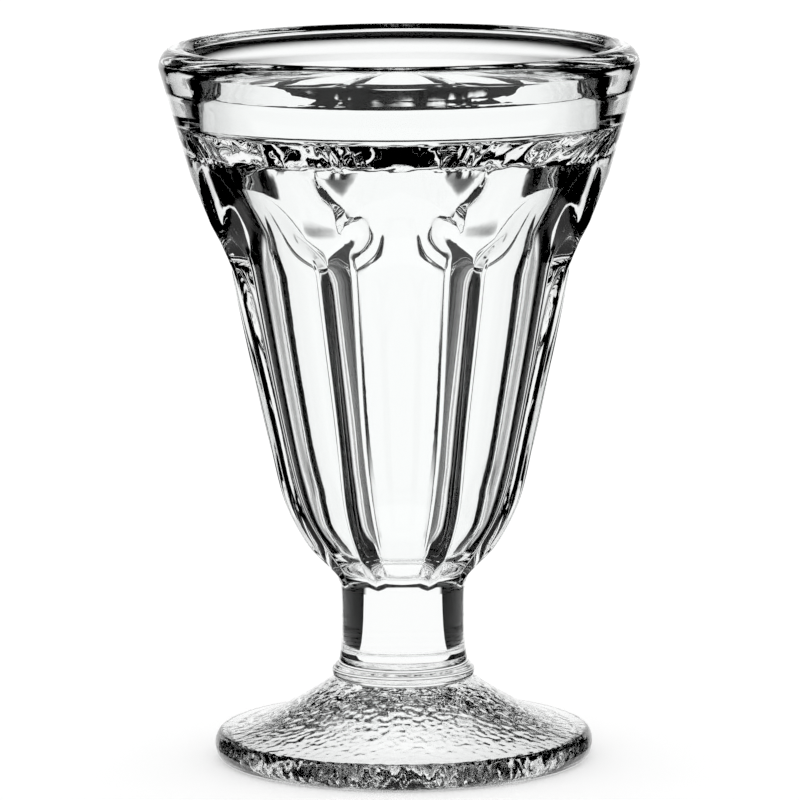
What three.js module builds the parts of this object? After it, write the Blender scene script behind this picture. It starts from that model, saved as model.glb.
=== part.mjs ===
// A footed sundae glass in clear pressed glass: a fluted tulip bowl on a short solid stem,
// a rounded collar and a domed foot. Millimetres, +Z up, origin on the table under the axis.
import * as THREE from 'three';

const { degToRad, clamp, lerp, smoothstep } = THREE.MathUtils;

// Heights of the four pieces, stacked from the table up
const footHeight = 16;
const collarHeight = 3.4;
const stemHeight = 14.6;
const bowlHeight = 107.8;

// Bowl outside: a plain flared band under the rim, then a cove, a long body and a rounded base
const rimDiameter = 95;
const rimThickness = 7.4;
const bandHeight = 21.1;
const bandFlare = degToRad(16);
const shoulderFlare = degToRad(31);
const coveHeight = 18;
const neckDiameter = 64.6;
const neckFlare = degToRad(12);
const bellyDiameter = 46.4;
const bellyHeight = 22;
const bellyFlare = degToRad(14.5);

// Flutes: arch-topped panels pressed into the bowl, with raised ribs between them
const fluteCount = 8;
const ribAngleAtNeck = degToRad(12);
const ribAngleAtStem = degToRad(20);
const ribRise = 2.9;
const ribFade = 14;
const archDrop = 6;

// Bowl inside: smooth, with a soft lip, a straight throat, a stacking ledge and a shelf under the ledge
const wallThickness = 4.8;
const floorThickness = 3;
const lipReach = 4.5;
const lipDepth = 6.2;
const throatHeight = 6.9;
const ledgeWidth = 6.7;
const ledgeHeight = 5.3;
const shelfHeight = 8.4;
const shelfFlare = degToRad(9);
const innerCoveHeight = 8;

// Stem, collar and foot
const stemTopDiameter = 24.6;
const stemWaistDiameter = 24.1;
const stemBaseDiameter = 25.4;
const collarDiameter = 28.8;
const footDiameter = 75;
const footEdgeThickness = 5.4;
const footEdgeRounding = 1.6;
const footNeckDiameter = 28;
const bearingWidth = 2.8;
const hollowHeight = 9;

// Facets
const columnsPerFlute = 10;
const panelShare = 0.4;
const roundColumns = 48;

const rimRadius = rimDiameter / 2;
const neckRadius = neckDiameter / 2;
const bellyRadius = bellyDiameter / 2;
const stemTopRadius = stemTopDiameter / 2;
const rimZ = bowlHeight - rimThickness / 2;
const shoulderZ = rimZ - bandHeight;
const neckZ = shoulderZ - coveHeight;
const pitch = (2 * Math.PI) / fluteCount;

const point = (radius, z) => new THREE.Vector2(radius, z);

// A point that lies a given height above another, along a wall that flares by an angle
const along = (from, rise, flare) => point(from.x + rise * Math.tan(flare), from.y + rise);

const bandRadius = (z) => rimRadius - (rimZ - z) * Math.tan(bandFlare);

function clearGlass() {
  return new THREE.MeshStandardMaterial({
    color: 0xf3f7f6,
    roughness: 0.04,
    metalness: 0,
    transparent: true,
    opacity: 0.35,
  });
}

function piece(name, geometry, z) {
  const mesh = new THREE.Mesh(geometry, clearGlass());
  mesh.name = name;
  mesh.position.z = z;
  return mesh;
}

function turned(outline, columns) {
  return new THREE.LatheGeometry(outline, columns).rotateX(Math.PI / 2);
}

// Centre line of a flute, from the stem up to the top of its arch on the rim band
function fluteFloor() {
  const base = point(stemTopRadius, 0);
  const belly = point(bellyRadius, bellyHeight);
  const neck = point(neckRadius, neckZ);
  const shoulder = point(bandRadius(shoulderZ), shoulderZ);
  const bodyHeight = neckZ - bellyHeight;
  const baseOut = along(base, 0.26 * bellyHeight, degToRad(9));
  const bellyIn = along(belly, -0.52 * bellyHeight, bellyFlare);
  const bellyOut = along(belly, bodyHeight / 4, bellyFlare);
  const neckIn = along(neck, -bodyHeight / 4, neckFlare);
  const neckOut = along(neck, 0.36 * coveHeight, neckFlare);
  const shoulderIn = along(shoulder, -0.28 * coveHeight, shoulderFlare);
  const curves = [
    [base, baseOut, bellyIn, belly],
    [belly, bellyOut, neckIn, neck],
    [neck, neckOut, shoulderIn, shoulder],
  ];
  const steps = [9, 6, 12];
  return curves.flatMap((ends, i) => new THREE.CubicBezierCurve(...ends).getPoints(steps[i]).slice(1));
}

// The inside runs down from the crest of the rim over the lip and the throat to the ledge, the shelf
// and a cove, on as a plain cone, and closes in a round floor
function bowlInside() {
  const crest = point(rimRadius - rimThickness / 2, bowlHeight);
  const lip = new THREE.EllipseCurve(
    crest.x, crest.y - lipDepth, lipReach, lipDepth, Math.PI / 2, Math.PI, false,
  );
  const ledgeTop = point(crest.x - lipReach, crest.y - lipDepth - throatHeight);
  const ledgeFoot = point(ledgeTop.x - ledgeWidth, ledgeTop.y - ledgeHeight);
  const shelfFoot = along(ledgeFoot, -shelfHeight, shelfFlare);
  const slope = (neckRadius - bellyRadius) / (neckZ - bellyHeight);
  const coneRadius = (z) => bellyRadius - wallThickness + (z - bellyHeight) * slope;
  const coneTop = shelfFoot.y - innerCoveHeight;
  const cone = new THREE.LineCurve(
    point(coneRadius(coneTop), coneTop), point(coneRadius(bellyHeight), bellyHeight),
  );
  const floor = new THREE.EllipseCurve(
    0, bellyHeight, coneRadius(bellyHeight), bellyHeight - floorThickness, 0, -Math.PI / 2, true,
  );
  return [
    ...lip.getPoints(8).slice(1),
    ledgeTop,
    ledgeFoot,
    shelfFoot,
    ...cone.getPoints(4),
    ...floor.getPoints(8).slice(1),
  ];
}

// Angle from the middle of a flute to the edge of its panel: the panels narrow towards the stem
function panelHalfAngle(z) {
  const ribAngle = lerp(ribAngleAtStem, ribAngleAtNeck, smoothstep(z, 0, neckZ));
  return (pitch - ribAngle) / 2;
}

// Columns follow the panel edges, so every rib keeps its own facets
function columnAngle(column, z) {
  const flute = Math.round(column / columnsPerFlute);
  const offset = column / columnsPerFlute - flute;
  const share = Math.abs(offset) * 2;
  const panel = panelHalfAngle(z);
  const onPanel = clamp(share / panelShare, 0, 1) * panel;
  const onRib = clamp((share - panelShare) / (1 - panelShare), 0, 1) * (pitch / 2 - panel);
  return { middle: flute * pitch, offset: Math.sign(offset) * (onPanel + onRib) };
}

// Radius of a flute's centre line at a height
function floorRadius(flutes, z) {
  const above = flutes.findIndex((step) => step.y >= z);
  if (above < 1) return above === 0 ? flutes[0].x : flutes[flutes.length - 1].x;
  const low = flutes[above - 1];
  const high = flutes[above];
  return lerp(low.x, high.x, (z - low.y) / (high.y - low.y));
}

// Height of the outside above the flute floor: a round panel whose top is drawn down into an arch at its
// sides, then a rib that runs up to a ridge. Both die out under the rim band and at the stem.
function riseAt(flutes, offset, radius, z) {
  const panel = panelHalfAngle(z);
  const angle = Math.abs(offset);
  const onPanel = clamp(angle / panel, 0, 1);
  const onRib = clamp((angle - panel) / (pitch / 2 - panel), 0, 1);
  const drop = archDrop * onPanel ** 2 * smoothstep(z, neckZ, neckZ + coveHeight / 2);
  const arch = floorRadius(flutes, z + drop) - floorRadius(flutes, z);
  const rise = (arch + ribRise * onRib) * smoothstep(z, 0, ribFade);
  const room = Math.max(bandRadius(z) - radius, 0) + Math.max(neckZ - z, 0);
  const both = Math.pow(rise ** 4 + room ** 4, 1 / 4);
  return both === 0 ? 0 : (rise * room) / both;
}

function bowl() {
  const base = [point(0, 0), point(stemTopRadius, 0)];
  const flutes = fluteFloor();
  const rim = new THREE.EllipseCurve(
    rimRadius - rimThickness / 2, rimZ, rimThickness / 2, rimThickness / 2, 0, Math.PI / 2, false,
  );
  const outline = [...base, ...flutes, ...rim.getPoints(5), ...bowlInside()];
  const geometry = turned(outline, fluteCount * columnsPerFlute);
  const position = geometry.getAttribute('position');
  for (let i = 0; i < position.count; i += 1) {
    const row = i % outline.length;
    const { x: radius, y: z } = outline[row];
    const { middle, offset } = columnAngle(Math.floor(i / outline.length), z);
    const fluted = row >= base.length && row < base.length + flutes.length;
    const outer = fluted ? radius + riseAt(flutes, offset, radius, z) : radius;
    position.setXYZ(i, outer * Math.sin(middle + offset), -outer * Math.cos(middle + offset), z);
  }
  return geometry;
}

// A solid column, drawn in at the waist and wider where it meets the collar
function stem() {
  const top = point(stemTopRadius, stemHeight);
  const base = point(stemBaseDiameter / 2, 0);
  const pull = 2 * stemWaistDiameter / 2 - (top.x + base.x) / 2;
  const side = new THREE.QuadraticBezierCurve(base, point(pull, stemHeight / 2), top);
  return turned([point(0, 0), ...side.getPoints(8), point(0, stemHeight)], roundColumns);
}

// A flat disc with a half-round edge
function collar() {
  const round = collarHeight / 2;
  const edge = new THREE.EllipseCurve(
    collarDiameter / 2 - round, round, round, round, -Math.PI / 2, Math.PI / 2, false,
  );
  return turned([point(0, 0), ...edge.getPoints(8), point(0, collarHeight)], roundColumns);
}

// A domed foot, hollow underneath, standing on a narrow flat ring inside its rounded edge
function foot() {
  const bearingOuter = footDiameter / 2 - footEdgeRounding;
  const bearingInner = bearingOuter - bearingWidth;
  const neck = point(footNeckDiameter / 2, footHeight);
  const domeRise = footHeight - footEdgeThickness;
  const hollow = new THREE.CubicBezierCurve(
    point(0, hollowHeight),
    point(0.3 * bearingInner, hollowHeight),
    point(0.5 * bearingInner, 0.4 * hollowHeight),
    point(bearingInner, 0),
  );
  const edgeHalf = footEdgeThickness / 2;
  const edge = new THREE.EllipseCurve(
    bearingOuter, edgeHalf, footEdgeRounding, edgeHalf, -Math.PI / 2, Math.PI / 2, false,
  );
  const dome = new THREE.CubicBezierCurve(
    point(bearingOuter, footEdgeThickness),
    point(lerp(neck.x, bearingOuter, 0.45), footEdgeThickness + 0.1 * domeRise),
    point(lerp(neck.x, bearingOuter, 0.05), footEdgeThickness + 0.5 * domeRise),
    neck,
  );
  const outline = [
    ...hollow.getPoints(9), ...edge.getPoints(8), ...dome.getPoints(9).slice(1), point(0, footHeight),
  ];
  return turned(outline, roundColumns);
}

const collarZ = footHeight;
const stemZ = collarZ + collarHeight;
const bowlZ = stemZ + stemHeight;

const glass = new THREE.Group();
glass.add(
  piece('foot', foot(), 0),
  piece('collar', collar(), collarZ),
  piece('stem', stem(), stemZ),
  piece('bowl', bowl(), bowlZ),
);

export default glass;
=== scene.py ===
import math

import bpy
import numpy as np
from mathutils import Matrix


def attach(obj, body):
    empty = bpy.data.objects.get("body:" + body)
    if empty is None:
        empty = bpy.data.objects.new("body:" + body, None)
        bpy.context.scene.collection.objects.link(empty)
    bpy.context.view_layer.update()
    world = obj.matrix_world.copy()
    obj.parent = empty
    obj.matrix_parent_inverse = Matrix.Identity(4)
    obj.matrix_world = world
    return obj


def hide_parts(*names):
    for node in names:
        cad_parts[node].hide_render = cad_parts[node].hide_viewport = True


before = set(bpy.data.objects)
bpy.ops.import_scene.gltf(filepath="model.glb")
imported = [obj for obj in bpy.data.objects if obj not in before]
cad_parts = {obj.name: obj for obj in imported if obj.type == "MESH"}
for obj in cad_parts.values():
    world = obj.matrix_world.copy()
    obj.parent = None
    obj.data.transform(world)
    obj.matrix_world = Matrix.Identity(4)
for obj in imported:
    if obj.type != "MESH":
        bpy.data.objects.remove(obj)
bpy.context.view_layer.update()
print("frame loaded:", sorted(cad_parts))


# shared helpers, all sizes below are millimetres until a mesh is made

mergeWithin = 0.000002
jointValues = {"reach": 20.0, "near": 0.01, "flat": 0.999}


def bend(start, startHandle, endHandle, end, steps):
    points = []
    for step in range(1, steps + 1):
        t = step / steps
        s = 1 - t
        points.append(tuple(
            s ** 3 * a + 3 * s * s * t * b + 3 * s * t * t * c + t ** 3 * d
            for a, b, c, d in zip(start, startHandle, endHandle, end)))
    return points


def line(start, end, steps):
    return [tuple(a + (b - a) * step / steps for a, b in zip(start, end)) for step in range(1, steps + 1)]


def arc(centre, across, up, fromAngle, toAngle, steps):
    points = []
    for step in range(1, steps + 1):
        angle = math.radians(fromAngle + (toAngle - fromAngle) * step / steps)
        points.append((centre[0] + across * math.cos(angle), centre[1] + up * math.sin(angle)))
    return points


def along(point, rise, flare):
    return (point[0] + rise * math.tan(math.radians(flare)), point[1] + rise)


def easedPath(knots, spacing, cornerSteps=7):
    # straight runs between the knots, each corner eased over its own length
    path = [knots[0][:2]]
    for before, knot, after in zip(knots, knots[1:], knots[2:]):
        ends = []
        for other in (before, after):
            run = math.dist(knot[:2], other[:2])
            share = min(knot[2] / run, 0.5)
            ends.append(tuple(k + (o - k) * share for k, o in zip(knot[:2], other[:2])))
        path += line(path[-1], ends[0], max(1, round(math.dist(path[-1], ends[0]) / spacing)))
        for step in range(1, cornerSteps + 1):
            t = step / cornerSteps
            path.append(tuple(
                (1 - t) ** 2 * a + 2 * t * (1 - t) * k + t * t * b
                for a, k, b in zip(ends[0], knot[:2], ends[1])))
    last = knots[-1][:2]
    return path + line(path[-1], last, max(1, round(math.dist(path[-1], last) / spacing)))


def spinPiece(name, outline, columns):
    # one vertex is drawn out along the half section, then spun round the axis
    bpy.ops.object.select_all(action="DESELECT")
    bpy.ops.mesh.primitive_plane_add(size=0.001)
    piece = bpy.context.object
    piece.name = piece.data.name = name
    bpy.ops.object.mode_set(mode="EDIT")
    bpy.ops.mesh.select_all(action="SELECT")
    bpy.ops.mesh.merge(type="CENTER")
    places = [(0, -radius / 1000, height / 1000) for radius, height in outline]
    bpy.ops.transform.translate(value=places[0])
    for here, there in zip(places, places[1:]):
        step = [b - a for a, b in zip(here, there)]
        bpy.ops.mesh.extrude_vertices_move(TRANSFORM_OT_translate={"value": step})
    bpy.ops.mesh.select_all(action="SELECT")
    bpy.ops.mesh.spin(steps=columns, angle=2 * math.pi, center=(0, 0, 0), axis=(0, 0, 1))
    bpy.ops.mesh.select_all(action="SELECT")
    bpy.ops.mesh.remove_doubles(threshold=mergeWithin)
    bpy.ops.object.mode_set(mode="OBJECT")
    return piece


def closeAndSmooth(piece):
    bpy.ops.object.select_all(action="DESELECT")
    piece.select_set(True)
    bpy.context.view_layer.objects.active = piece
    bpy.ops.object.mode_set(mode="EDIT")
    bpy.ops.mesh.select_all(action="SELECT")
    bpy.ops.mesh.remove_doubles(threshold=mergeWithin)
    bpy.ops.mesh.normals_make_consistent(inside=False)
    bpy.ops.object.mode_set(mode="OBJECT")
    bpy.ops.object.shade_smooth_by_angle(angle=math.radians(50))
    print(piece.name, "faces:", len(piece.data.polygons))


def stipple(piece, corners, size, depth):
    # fine dimples pressed into part of a surface
    patch = piece.vertex_groups.new(name="stippled")
    patch.add(corners, 1.0, "REPLACE")
    texture = bpy.data.textures.new(piece.name + "Stipple", "CLOUDS")
    texture.noise_scale = size
    texture.noise_depth = 0
    dimples = piece.modifiers.new("dimples", "DISPLACE")
    dimples.texture = texture
    dimples.texture_coords = "LOCAL"
    dimples.vertex_group = "stippled"
    dimples.strength = depth
    dimples.mid_level = 0.5
    bpy.ops.object.modifier_apply(modifier="dimples")


def dress(piece, material, node, joints=()):
    # the hidden faces where two pieces are fused get the joint material
    piece.data.materials.clear()
    piece.data.materials.append(material)
    piece.data.materials.append(fusedJoint)
    for face in piece.data.polygons:
        flat = abs(face.normal.z) > jointValues["flat"]
        within = face.center.xy.length * 1000 < jointValues["reach"]
        atJoint = any(abs(face.center.z * 1000 - height) < jointValues["near"] for height in joints)
        if flat and within and atJoint:
            face.material_index = 1
    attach(piece, "root")
    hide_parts(node)


# materials

def addNode(tree, kind, links=(), **values):
    node = tree.nodes.new(kind)
    for key, value in values.items():
        setattr(node, key, value)
    for socket, source in links:
        if isinstance(source, bpy.types.NodeSocket):
            tree.links.new(source, node.inputs[socket])
        else:
            node.inputs[socket].default_value = source
    return node


def makePressedSurface():
    # slow waves and fine pits that a mould leaves in pressed glass
    tree = bpy.data.node_groups.new("pressedSurface", "ShaderNodeTree")
    tree.interface.new_socket("Vector", in_out="INPUT", socket_type="NodeSocketVector")
    for label in ("Wave Scale", "Pit Scale", "Pit Share"):
        tree.interface.new_socket(label, in_out="INPUT", socket_type="NodeSocketFloat")
    tree.interface.new_socket("Height", in_out="OUTPUT", socket_type="NodeSocketFloat")
    inside = addNode(tree, "NodeGroupInput")
    wave = addNode(tree, "ShaderNodeTexNoise", [
        ("Vector", inside.outputs["Vector"]), ("Scale", inside.outputs["Wave Scale"]), ("Detail", 1.0)])
    pits = addNode(tree, "ShaderNodeTexNoise", [
        ("Vector", inside.outputs["Vector"]), ("Scale", inside.outputs["Pit Scale"]), ("Detail", 2.0)])
    height = addNode(tree, "ShaderNodeMix", [
        (0, inside.outputs["Pit Share"]), (2, wave.outputs["Fac"]), (3, pits.outputs["Fac"])])
    out = addNode(tree, "NodeGroupOutput")
    tree.links.new(height.outputs[0], out.inputs["Height"])
    return tree


pressedSurface = makePressedSurface()

glassLooks = {
    "tint": (0.985, 0.995, 0.992, 1.0),
    "ior": 1.52,
    "shine": (0.4, 0.4, 0.4, 1.0),
    "clear": {"Wave Scale": 45.0, "Pit Scale": 420.0, "Pit Share": 0.12, "depth": 0.00003, "roughness": 0.0},
    "stippled": {"Wave Scale": 260.0, "Pit Scale": 900.0, "Pit Share": 0.4, "depth": 0.0001, "roughness": 0.0},
}


def makeGlass(name, look):
    material = bpy.data.materials.new(name)
    material.use_nodes = True
    tree = material.node_tree
    shader = tree.nodes["Principled BSDF"]
    shader.inputs["Base Color"].default_value = glassLooks["tint"]
    shader.inputs["IOR"].default_value = glassLooks["ior"]
    shader.inputs["Transmission Weight"].default_value = 1.0
    shader.inputs["Specular Tint"].default_value = glassLooks["shine"]
    shader.inputs["Roughness"].default_value = look["roughness"]
    place = addNode(tree, "ShaderNodeTexCoord")
    surface = addNode(tree, "ShaderNodeGroup", node_tree=pressedSurface)
    tree.links.new(place.outputs["Object"], surface.inputs["Vector"])
    for label in ("Wave Scale", "Pit Scale", "Pit Share"):
        surface.inputs[label].default_value = look[label]
    bump = addNode(tree, "ShaderNodeBump", [
        ("Height", surface.outputs["Height"]), ("Distance", look["depth"]), ("Strength", 1.0)])
    tree.links.new(bump.outputs["Normal"], shader.inputs["Normal"])
    return material


def makeFusedJoint():
    # inside a fused joint there is no surface at all
    material = bpy.data.materials.new("fusedJoint")
    material.use_nodes = True
    shader = material.node_tree.nodes["Principled BSDF"]
    shader.inputs["Alpha"].default_value = 0.0
    shader.inputs["Specular IOR Level"].default_value = 0.0
    return material


clearGlass = makeGlass("clearGlass", glassLooks["clear"])
stippledGlass = makeGlass("stippledGlass", glassLooks["stippled"])
fusedJoint = makeFusedJoint()
print("materials ready")


# bowl

bowlValues = {
    "baseHeight": 34.0, "baseRadius": 12.3, "baseFlare": 9.0, "baseLift": 0.26, "bellyDrop": 0.52,
    "bellyHeight": 56.0, "bellyRadius": 23.4, "bellyFlare": 14.5,
    "neckHeight": 99.0, "neckRadius": 32.6, "neckFlare": 11.0, "coveLift": 8.0,
    "shoulderHeight": 116.8, "shoulderFlare": 29.0, "shoulderDrop": 4.0, "bandFlare": 16.0,
    "rimHeight": 138.5, "rimRadius": 47.5, "top": 141.75, "rimRound": 4.05,
    "lipDepth": 5.75, "lipReach": 3.0, "lipFullness": 0.53, "insideSpacing": 1.5,
    "flutes": 8, "columnsPerFlute": 36, "panelShare": 0.5,
    "panelAtStem": 14.0, "panelAtBelly": 17.0, "panelAtNeck": 16.3, "panelTurn": 70.0,
    "ribRise": 3.1, "ribRiseLow": 2.6, "ribCrest": 0.85, "ribFade": 10.0,
    "archDrop": 5.5, "archRound": 2.5, "archFrom": 99.0, "archOver": 10.0, "limitPower": 8,
    "stippleBand": (121.5, 127.0), "stippleWithin": 39.2, "stippleSize": 0.0014, "stippleDepth": 0.0004,
    # the inside: radius, height and how softly each corner turns
    "inside": [
        (39.3, 133.9, 1.0), (39.0, 127.2, 0.9), (33.6, 122.2, 0.9), (31.1, 114.9, 1.2), (28.0, 107.0, 2.0),
        (26.5, 99.0, 3.0),
        (23.5, 80.0, 7.0), (20.8, 65.0, 5.0), (19.4, 58.0, 3.0), (17.8, 52.0, 2.5), (16.0, 47.0, 2.5),
        (12.6, 41.6, 2.5), (7.0, 37.9, 2.5), (0.0, 37.0, 0.0)],
}


def bandRadius(height):
    v = bowlValues
    return v["rimRadius"] - (v["rimHeight"] - height) * math.tan(math.radians(v["bandFlare"]))


def bowlOutside():
    v = bowlValues
    base = (v["baseRadius"], v["baseHeight"])
    belly = (v["bellyRadius"], v["bellyHeight"])
    neck = (v["neckRadius"], v["neckHeight"])
    shoulder = (bandRadius(v["shoulderHeight"]), v["shoulderHeight"])
    body = v["neckHeight"] - v["bellyHeight"]
    lower = v["bellyHeight"] - v["baseHeight"]
    rimCentre = v["top"] - v["rimRound"]
    edge = (bandRadius(rimCentre), rimCentre)
    points = [(0, v["baseHeight"])] + line((0, v["baseHeight"]), base, 3)
    points += bend(base, along(base, v["baseLift"] * lower, v["baseFlare"]),
                   along(belly, -v["bellyDrop"] * lower, v["bellyFlare"]), belly, 32)
    points += bend(belly, along(belly, body / 4, v["bellyFlare"]),
                   along(neck, -body / 4, v["neckFlare"]), neck, 22)
    points += bend(neck, along(neck, v["coveLift"], v["neckFlare"]),
                   along(shoulder, -v["shoulderDrop"], v["shoulderFlare"]), shoulder, 60)
    points += line(shoulder, edge, 10)
    points += arc((edge[0] - v["rimRound"], rimCentre), v["rimRound"], v["rimRound"], 0, 90, 14)
    return points


def bowlInside():
    v = bowlValues
    crest = bandRadius(v["top"] - v["rimRound"]) - v["rimRound"]
    full = v["lipFullness"]
    throat = (crest - v["lipReach"], v["top"] - v["lipDepth"])
    points = [(crest, v["top"])]
    wall = v["inside"][0]
    lean = (throat[0] - wall[0]) / (throat[1] - wall[1])
    points += bend(points[0], (crest - full * v["lipReach"], v["top"]),
                   (throat[0] + lean * full * v["lipDepth"], throat[1] + full * v["lipDepth"]), throat, 22)
    knots = [(points[-1][0], points[-1][1], 0.0)] + v["inside"]
    return points + easedPath(knots, v["insideSpacing"])[1:]


def ease(value, start, end):
    share = np.clip((value - start) / (end - start), 0, 1)
    return share * share * (3 - 2 * share)


def panelHalfAngle(height):
    # the panels are widest at the belly
    v = bowlValues
    belowTurn = ease(height, v["baseHeight"], v["panelTurn"])
    aboveTurn = ease(height, v["panelTurn"], v["neckHeight"])
    low = v["panelAtStem"] + (v["panelAtBelly"] - v["panelAtStem"]) * belowTurn
    return np.radians(low + (v["panelAtNeck"] - v["panelAtBelly"]) * aboveTurn)


def pressFlutes(piece, outside):
    # columns are drawn to the panel edges, then the ribs are raised between the panels
    v = bowlValues
    count = len(piece.data.vertices)
    places = np.empty(count * 3)
    piece.data.vertices.foreach_get("co", places)
    places = places.reshape(-1, 3)
    radius = np.hypot(places[:, 0], places[:, 1]) * 1000
    height = places[:, 2] * 1000
    turn = np.arctan2(places[:, 0], -places[:, 1])
    pitch = 2 * math.pi / v["flutes"]
    flute = np.round(turn / pitch)
    offset = turn / pitch - flute
    share = np.abs(offset) * 2
    panel = panelHalfAngle(height)
    onPanel = np.clip(share / v["panelShare"], 0, 1)
    onRib = np.clip((share - v["panelShare"]) / (1 - v["panelShare"]), 0, 1)
    angle = onPanel * panel + onRib * (pitch / 2 - panel)
    if outside:
        upBody = ease(height, v["bellyHeight"], v["neckHeight"])
        tall = v["ribRiseLow"] + (v["ribRise"] - v["ribRiseLow"]) * upBody
        rib = tall * (1 - (1 - onRib) ** v["ribCrest"])
        order = np.argsort(height, kind="stable")
        drop = v["archDrop"] * onPanel ** v["archRound"]
        drop = drop * ease(height, v["archFrom"], v["archFrom"] + v["archOver"])
        arch = np.interp(height + drop, height[order], radius[order]) - radius
        rise = rib + np.where(height < v["shoulderHeight"], arch, 0)
        rise = rise * ease(height, v["baseHeight"], v["baseHeight"] + v["ribFade"])
        room = np.maximum(bandRadius(height) - radius, 0) + np.maximum(v["neckHeight"] - height, 0)
        power = v["limitPower"]
        both = (rise ** power + room ** power) ** (1 / power)
        fluted = (height > v["baseHeight"]) & (height < v["shoulderHeight"]) & (both > 0)
        radius = radius + np.where(fluted, rise * room / np.maximum(both, 1e-9), 0)
    turned = flute * pitch + np.sign(offset) * angle
    places[:, 0] = radius * np.sin(turned) / 1000
    places[:, 1] = -radius * np.cos(turned) / 1000
    piece.data.vertices.foreach_set("co", places.reshape(-1))
    piece.data.update()


def makeBowl():
    v = bowlValues
    columns = v["flutes"] * v["columnsPerFlute"]
    outer = spinPiece("bowlPiece", bowlOutside(), columns)
    pressFlutes(outer, True)
    inner = spinPiece("bowlInner", bowlInside(), columns)
    pressFlutes(inner, False)
    bpy.ops.object.select_all(action="DESELECT")
    inner.select_set(True)
    outer.select_set(True)
    bpy.context.view_layer.objects.active = outer
    bpy.ops.object.join()
    closeAndSmooth(outer)
    low, high = v["stippleBand"]
    ledge = [corner.index for corner in outer.data.vertices
             if low < corner.co.z * 1000 < high and corner.co.xy.length * 1000 < v["stippleWithin"]]
    stipple(outer, ledge, v["stippleSize"], v["stippleDepth"])
    return outer


bowlPiece = makeBowl()
dress(bowlPiece, clearGlass, "bowl", [bowlValues["baseHeight"]])
print("bowl ready")


# stem

stemValues = {
    "bottom": 19.4, "top": 34.0, "topRadius": 12.3, "bottomRadius": 12.75,
    "waistRadius": 12.05, "flareLead": 0.1, "flareShare": 0.12, "waistShare": 0.7, "columns": 192,
}


def makeStem():
    v = stemValues
    tall = v["top"] - v["bottom"]
    bottom = (v["bottomRadius"], v["bottom"])
    top = (v["topRadius"], v["top"])
    outline = [(0, v["bottom"])] + line((0, v["bottom"]), bottom, 3)
    outline += bend(bottom, (v["waistRadius"] + v["flareLead"], v["bottom"] + v["flareShare"] * tall),
                    (v["waistRadius"], v["bottom"] + v["waistShare"] * tall), top, 36)
    outline += line(top, (0, v["top"]), 3)
    piece = spinPiece("stemPiece", outline, v["columns"])
    closeAndSmooth(piece)
    return piece


stemPiece = makeStem()
dress(stemPiece, clearGlass, "stem", [stemValues["bottom"], stemValues["top"]])
print("stem ready")


# collar

collarValues = {
    "bottom": 16.0, "top": 19.4, "topRadius": 12.75, "bottomRadius": 13.6, "beadRadius": 14.1,
    "beadHeight": 17.4, "beadDrop": 0.6, "beadLift": 0.9, "bottomLead": (0.35, 0.1), "topLead": (0.15, 0.9),
    "columns": 192,
}


def makeCollar():
    v = collarValues
    bottom = (v["bottomRadius"], v["bottom"])
    bead = (v["beadRadius"], v["beadHeight"])
    top = (v["topRadius"], v["top"])
    outline = [(0, v["bottom"])] + line((0, v["bottom"]), bottom, 3)
    outline += bend(bottom, (bottom[0] + v["bottomLead"][0], bottom[1] + v["bottomLead"][1]),
                    (bead[0], bead[1] - v["beadDrop"]), bead, 12)
    outline += bend(bead, (bead[0], bead[1] + v["beadLift"]),
                    (top[0] + v["topLead"][0], top[1] - v["topLead"][1]), top, 16)
    outline += line(top, (0, v["top"]), 3)
    piece = spinPiece("collarPiece", outline, v["columns"])
    closeAndSmooth(piece)
    return piece


collarPiece = makeCollar()
dress(collarPiece, clearGlass, "collar", [collarValues["bottom"], collarValues["top"]])
print("collar ready")


# foot

footValues = {
    "top": 16.0, "neckRadius": 13.6, "radius": 37.5, "edgeHeight": 5.4, "edgeRound": 1.6, "bearing": 2.8,
    "hollow": 10.5, "roofReach": 0.3, "hollowSide": (0.5, 0.4), "domeLow": (0.62, 0.11), "domeHigh": (0.24, 0.64),
    "columns": 520, "stippleSize": 0.0011, "stippleDepth": 0.00025, "stippleMargin": 0.6,
}


def makeFoot():
    v = footValues
    outer = v["radius"] - v["edgeRound"]
    ring = outer - v["bearing"]
    half = v["edgeHeight"] / 2
    roof = (0, v["hollow"])
    side = v["hollowSide"]
    outline = [roof] + bend(roof, (v["roofReach"] * ring, v["hollow"]),
                            (side[0] * ring, side[1] * v["hollow"]), (ring, 0), 92)
    outline += line((ring, 0), (outer, 0), 4)
    outline += arc((outer, half), v["edgeRound"], half, -90, 90, 18)
    neck = (v["neckRadius"], v["top"])
    span = outer - neck[0]
    lift = v["top"] - v["edgeHeight"]
    handles = [(neck[0] + across * span, v["edgeHeight"] + up * lift)
               for across, up in (v["domeLow"], v["domeHigh"])]
    outline += bend((outer, v["edgeHeight"]), *handles, neck, 54)
    outline += line(neck, (0, v["top"]), 3)
    piece = spinPiece("footPiece", outline, v["columns"])
    closeAndSmooth(piece)
    hollow = [face for face in piece.data.polygons if face.normal.z < -0.05 and face.center.z > 0.0001
              and face.center.xy.length * 1000 < ring - v["stippleMargin"]]
    corners = sorted({corner for face in hollow for corner in face.vertices})
    stipple(piece, corners, v["stippleSize"], v["stippleDepth"])
    return piece


footPiece = makeFoot()
dress(footPiece, stippledGlass, "foot", [footValues["top"]])
print("foot ready")


# floor, light and camera

stageValues = {
    "floorSize": 12.0, "floorWhite": 0.85, "floorLift": 0.25, "floorDrop": 0.0002,
    "cardRadius": 0.042, "cardFrom": 0.03, "cardTo": 0.26, "discDrop": 0.0001, "sweepDrop": 0.00015,
    "window": 27.5, "soft": 2.0, "low": -11.0, "high": 16.0, "overheadFrom": 88.0,
    "flagsTo": 78.0, "flagsSoft": 4.0, "farSide": 1.0, "floorFrom": -45.0,
}


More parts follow.
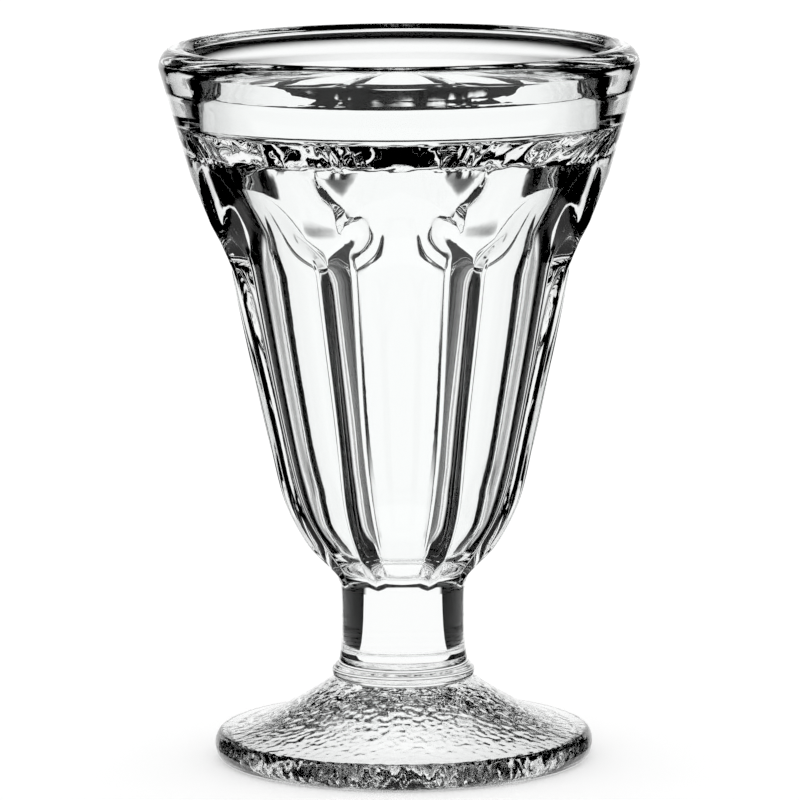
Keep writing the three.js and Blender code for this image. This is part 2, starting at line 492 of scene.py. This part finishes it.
def makeFloor():
    v = stageValues
    bpy.ops.object.select_all(action="DESELECT")
    bpy.ops.mesh.primitive_plane_add(size=v["floorSize"], location=(0, 0, -v["floorDrop"]))
    floor = bpy.context.object
    floor.name = "floor"
    material = bpy.data.materials.new("paleFloor")
    material.use_nodes = True
    tree = material.node_tree
    shader = tree.nodes["Principled BSDF"]
    white = v["floorWhite"]
    shader.inputs["Base Color"].default_value = (white, white, white, 1)
    shader.inputs["Roughness"].default_value = 1.0
    shader.inputs["Specular IOR Level"].default_value = 0.0
    shader.inputs["Emission Color"].default_value = (1, 1, 1, 1)
    path = addNode(tree, "ShaderNodeLightPath")
    lift = addNode(tree, "ShaderNodeMath", [(0, path.outputs["Is Camera Ray"]), (1, v["floorLift"])],
                   operation="MULTIPLY")
    tree.links.new(lift.outputs[0], shader.inputs["Emission Strength"])
    floor.data.materials.append(material)
    floor.visible_transmission = False
    floor.visible_glossy = False


def makeCard():
    # the white card that the glass stands on, as the glass itself sees it:
    # a disc under the foot and a sweep behind
    v = stageValues
    material = bpy.data.materials.new("whiteCard")
    material.use_nodes = True
    shader = material.node_tree.nodes["Principled BSDF"]
    shader.inputs["Base Color"].default_value = (0, 0, 0, 1)
    shader.inputs["Specular IOR Level"].default_value = 0.0
    shader.inputs["Emission Color"].default_value = (1, 1, 1, 1)
    shader.inputs["Emission Strength"].default_value = 1.0
    bpy.ops.object.select_all(action="DESELECT")
    bpy.ops.mesh.primitive_circle_add(vertices=64, radius=v["cardRadius"], fill_type="NGON",
                                      location=(0, 0, -v["discDrop"]))
    disc = bpy.context.object
    bpy.ops.mesh.primitive_plane_add(size=1, location=(0, 0, -v["sweepDrop"]))
    sweep = bpy.context.object
    for corner in sweep.data.vertices:
        back = v["cardTo"] if corner.co.y > 0 else v["cardFrom"]
        corner.co.x = math.copysign(back * math.tan(math.radians(v["window"])), corner.co.x)
        corner.co.y = back
    for name, card in (("cardDisc", disc), ("cardSweep", sweep)):
        card.name = name
        card.data.materials.append(material)
        card.visible_camera = False
        card.visible_diffuse = False
        card.visible_shadow = False


def makeWorld():
    # a white window behind the glass, dark flags beside it, white on the far side and steeply below
    v = stageValues
    world = bpy.data.worlds.new("studio")
    bpy.context.scene.world = world
    world.use_nodes = True
    world.cycles.sampling_method = "NONE"
    tree = world.node_tree
    tree.nodes.clear()
    place = addNode(tree, "ShaderNodeTexCoord")
    split = addNode(tree, "ShaderNodeSeparateXYZ", [(0, place.outputs["Generated"])])

    def step(operation, *values):
        return addNode(tree, "ShaderNodeMath", list(enumerate(values)), operation=operation).outputs[0]

    def fade(value, start, end):
        ramp = addNode(tree, "ShaderNodeMapRange", [
            ("Value", value), ("From Min", math.radians(start)), ("From Max", math.radians(end))],
            interpolation_type="SMOOTHSTEP")
        return ramp.outputs["Result"]

    aside = step("ABSOLUTE", step("ARCTAN2", split.outputs["X"], split.outputs["Y"]))
    up = step("ARCSINE", split.outputs["Z"])
    soft = v["soft"]
    window = step("SUBTRACT", 1.0, fade(aside, v["window"] - soft, v["window"] + soft))
    window = step("MULTIPLY", window, fade(up, v["low"] - soft, v["low"] + soft))
    window = step("MULTIPLY", window, step("SUBTRACT", 1.0, fade(up, v["high"] - soft, v["high"] + soft)))
    path = addNode(tree, "ShaderNodeLightPath")
    plain = step("MAXIMUM", path.outputs["Is Camera Ray"], path.outputs["Is Diffuse Ray"])
    overhead = fade(up, v["overheadFrom"] - soft, v["overheadFrom"] + soft)
    farSide = fade(aside, v["flagsTo"] - v["flagsSoft"], v["flagsTo"] + v["flagsSoft"])
    farSide = step("MULTIPLY", step("MULTIPLY", farSide, path.outputs["Is Transmission Ray"]), v["farSide"])
    below = step("SUBTRACT", 1.0, fade(up, v["floorFrom"] - soft, v["floorFrom"] + soft))
    seen = plain
    for part in (overhead, window, farSide, below):
        seen = step("MAXIMUM", seen, part)
    back = addNode(tree, "ShaderNodeBackground", [("Color", seen), ("Strength", 1.0)])
    out = addNode(tree, "ShaderNodeOutputWorld")
    tree.links.new(back.outputs[0], out.inputs["Surface"])


# fitted to the ellipses of rim and foot, with the focal length in pixels of an 800 pixel frame
cameraValues = {
    "place": (-0.0003, -1.35, 0.2771), "pitch": 8.671, "roll": -0.4, "focal": 6913, "frame": 800, "sensor": 36,
    "clipEnd": 50,
}


def makeCamera():
    v = cameraValues
    bpy.ops.object.camera_add(location=v["place"], rotation=(math.radians(90 - v["pitch"]), 0, 0))
    camera = bpy.context.object
    camera.data.sensor_width = v["sensor"]
    camera.data.lens = v["focal"] / v["frame"] * v["sensor"]
    camera.data.clip_end = v["clipEnd"]
    camera.rotation_euler.rotate_axis("Z", math.radians(v["roll"]))
    bpy.context.scene.camera = camera


makeFloor()
makeCard()
makeWorld()
makeCamera()

scene = bpy.context.scene
scene.view_settings.view_transform = "Standard"
scene.cycles.max_bounces = 24
scene.cycles.transmission_bounces = 24
scene.cycles.transparent_max_bounces = 16
print("stage ready")
